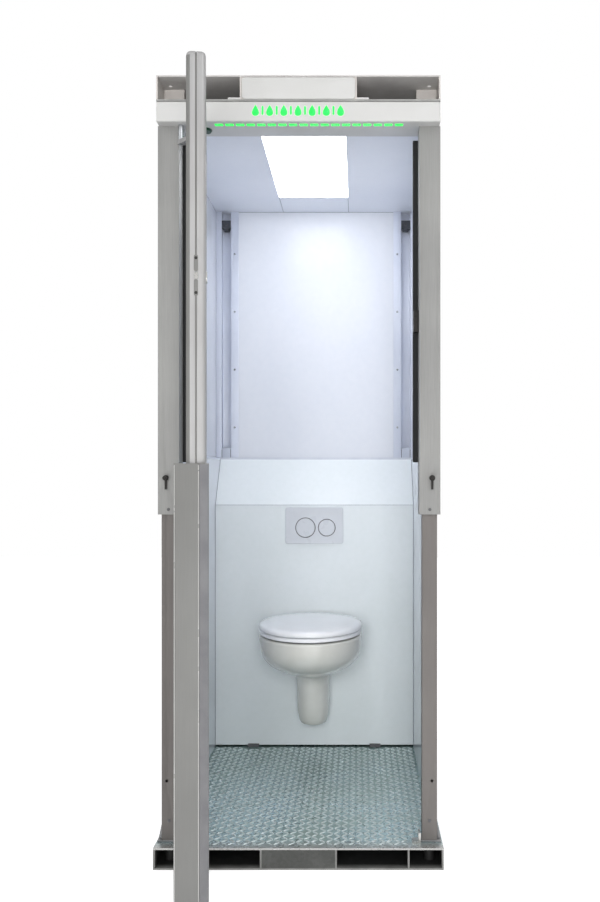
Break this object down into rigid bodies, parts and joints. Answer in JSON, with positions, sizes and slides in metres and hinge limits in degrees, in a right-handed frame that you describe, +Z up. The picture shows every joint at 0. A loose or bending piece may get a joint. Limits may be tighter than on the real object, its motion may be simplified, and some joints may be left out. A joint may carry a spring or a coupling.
{
  "type": "pop-up toilet",
  "caption": "Telescoping toilet cabin on a pallet base: a lifting upper cabin, a pivoting two-leaf door, wall-hung bowl with seat and lid, and a flush plate.",
  "frame": {"origin": "middle of the pallet base's underside", "axes": "+Z up, the doorway faces -Y, +X to the right seen from the doorway"},
  "size_m": [0.8, 1.8098, 2.186],
  "materials": {
    "galvanised_steel": "hot-dip galvanised plate, spangled",
    "black_steel": "black paint",
    "tread_plate": "galvanised tread plate with raised bars",
    "grey_aluminium": "anodised extrusion",
    "light_aluminium": "natural anodised extrusion",
    "white_panel": "glossy white laminate",
    "grey_panel": "satin pale grey laminate",
    "white_paint": "off-white powder coat",
    "white_ceramic": "white glaze",
    "white_plastic": "moulded white plastic",
    "black_rubber": "matt black rubber",
    "slide_plastic": "machined slide plastic",
    "grey_plastic": "moulded grey plastic",
    "pipe_plastic": "extruded pipe",
    "bright_steel": "plated steel",
    "green_light": "lit green lens",
    "white_light": "lit white diffuser",
    "dark_lens": "dark sensor lens"
  },
  "bodies": {
    "root": {"base_bottom_plate": "galvanised_steel", "base_centre_covers": "galvanised_steel", "post_feet": "galvanised_steel", "support_frame": "galvanised_steel", "rear_wall_spacers": "galvanised_steel", "base_webs": "black_steel", "floor_treadplate": "tread_plate", "lower_posts": "grey_aluminium", "lower_walls": "white_panel", "cistern_slope": "white_panel", "cistern_panel": "grey_panel", "toilet_bowl": "white_ceramic", "flush_plate": "white_plastic", "cistern_tank": "white_plastic", "wall_edge_seal": "black_rubber", "panel_clips": "black_rubber", "lower_slide_pads": "slide_plastic", "waste_pump": "grey_plastic", "power_gland": "grey_plastic", "flush_pipe": "pipe_plastic", "drain_pipes": "pipe_plastic", "bowl_studs": "bright_steel", "water_inlet": "bright_steel", "seat_hinge_pins": "bright_steel", "door_floor_keep": "bright_steel", "bottom_pivot": "bright_steel"},
    "door_lower": {"door_lower_frame": "grey_aluminium", "door_lower_skins": "grey_aluminium", "door_lower_arm": "grey_aluminium"},
    "door_upper": {"door_upper_frame": "light_aluminium", "door_upper_panel": "light_aluminium", "door_upper_arm": "light_aluminium"},
    "thumb_turn": {"thumb_turn": "bright_steel"},
    "lock_bolt": {"lock_bolt": "bright_steel"},
    "seat": {"toilet_seat": "white_plastic"},
    "lid": {"toilet_lid": "white_plastic"},
    "full_flush_button": {"full_flush_button": "white_plastic"},
    "half_flush_button": {"half_flush_button": "white_plastic"},
    "left_lock_lever": {"left_lock_lever": "bright_steel"},
    "right_lock_lever": {"right_lock_lever": "bright_steel"},
    "left_lock_pin": {"left_lock_pin": "bright_steel"},
    "right_lock_pin": {"right_lock_pin": "bright_steel"},
    "upper_cabin": {"front_upper_posts": "grey_aluminium", "rear_upper_posts": "light_aluminium", "flange_screws": "bright_steel", "upper_slide_pads": "slide_plastic", "landing_buffers": "black_steel", "upper_walls": "white_panel", "header_beam": "white_paint", "header_light_dashes": "green_light", "presence_sensor": "dark_lens", "top_pivot": "bright_steel", "ceiling_panels": "white_panel", "ceiling_light": "white_light", "roof_deck": "galvanised_steel", "roof_webs": "galvanised_steel", "roof_top_plate": "galvanised_steel", "roof_centre_covers": "white_paint", "door_seals": "black_rubber", "lock_keep": "bright_steel"}
  },
  "joints": [
    {"name": "lift_slide", "type": "slide", "parent": "root", "child": "upper_cabin", "axis": [0, 0, 1], "range_m": [-0.848, 0]},
    {"name": "door_swing", "type": "hinge", "parent": "root", "child": "door_lower", "pos_m": [-0.328, -0.57, 0.067], "axis": [0, 0, 1], "range_deg": [-18.5, 81.5]},
    {"name": "door_leaf_slide", "type": "slide", "parent": "door_lower", "child": "door_upper", "axis": [0, 0, 1], "range_m": [-0.848, 0]},
    {"name": "thumb_turn_hinge", "type": "hinge", "parent": "door_upper", "child": "thumb_turn", "pos_m": [-0.16604, -1.16661, 1.52], "axis": [0.989, 0.1478, 0], "range_deg": [-3, 95]},
    {"name": "bolt_slide", "type": "slide", "parent": "door_upper", "child": "lock_bolt", "axis": [0.1478, -0.989, 0], "range_m": [0, 0.02]},
    {"name": "seat_hinge", "type": "hinge", "parent": "root", "child": "seat", "pos_m": [0, 0.34, 0.556], "axis": [-1, 0, 0], "range_deg": [0, 92]},
    {"name": "lid_hinge", "type": "hinge", "parent": "seat", "child": "lid", "pos_m": [0, 0.34, 0.556], "axis": [1, 0, 0], "range_deg": [-92, 0]},
    {"name": "full_flush_press", "type": "slide", "parent": "root", "child": "full_flush_button", "axis": [0, 1, 0], "range_m": [0, 0.006], "stiffness_N_per_m": 900, "springref_m": -0.002},
    {"name": "half_flush_press", "type": "slide", "parent": "root", "child": "half_flush_button", "axis": [0, 1, 0], "range_m": [0, 0.006], "stiffness_N_per_m": 900, "springref_m": -0.002},
    {"name": "left_lock_turn", "type": "hinge", "parent": "upper_cabin", "child": "left_lock_lever", "pos_m": [-0.371, -0.566, 1.078], "axis": [0, -1, 0], "range_deg": [0, 90]},
    {"name": "left_pin_slide", "type": "slide", "parent": "upper_cabin", "child": "left_lock_pin", "axis": [0, 1, 0], "range_m": [0, 0.012]},
    {"name": "right_lock_turn", "type": "hinge", "parent": "upper_cabin", "child": "right_lock_lever", "pos_m": [0.371, -0.566, 1.078], "axis": [0, 1, 0], "range_deg": [0, 90]},
    {"name": "right_pin_slide", "type": "slide", "parent": "upper_cabin", "child": "right_lock_pin", "axis": [0, 1, 0], "range_m": [0, 0.012]}
  ],
  "couplings": [
    {"joint": "door_leaf_slide", "follows": "lift_slide", "ratio": 1},
    {"joint": "thumb_turn_hinge", "follows": "bolt_slide", "rad_per_m": 78.54},
    {"joint": "left_pin_slide", "follows": "left_lock_turn", "m_per_rad": 0.0076394},
    {"joint": "right_pin_slide", "follows": "right_lock_turn", "m_per_rad": 0.0076394}
  ]
}
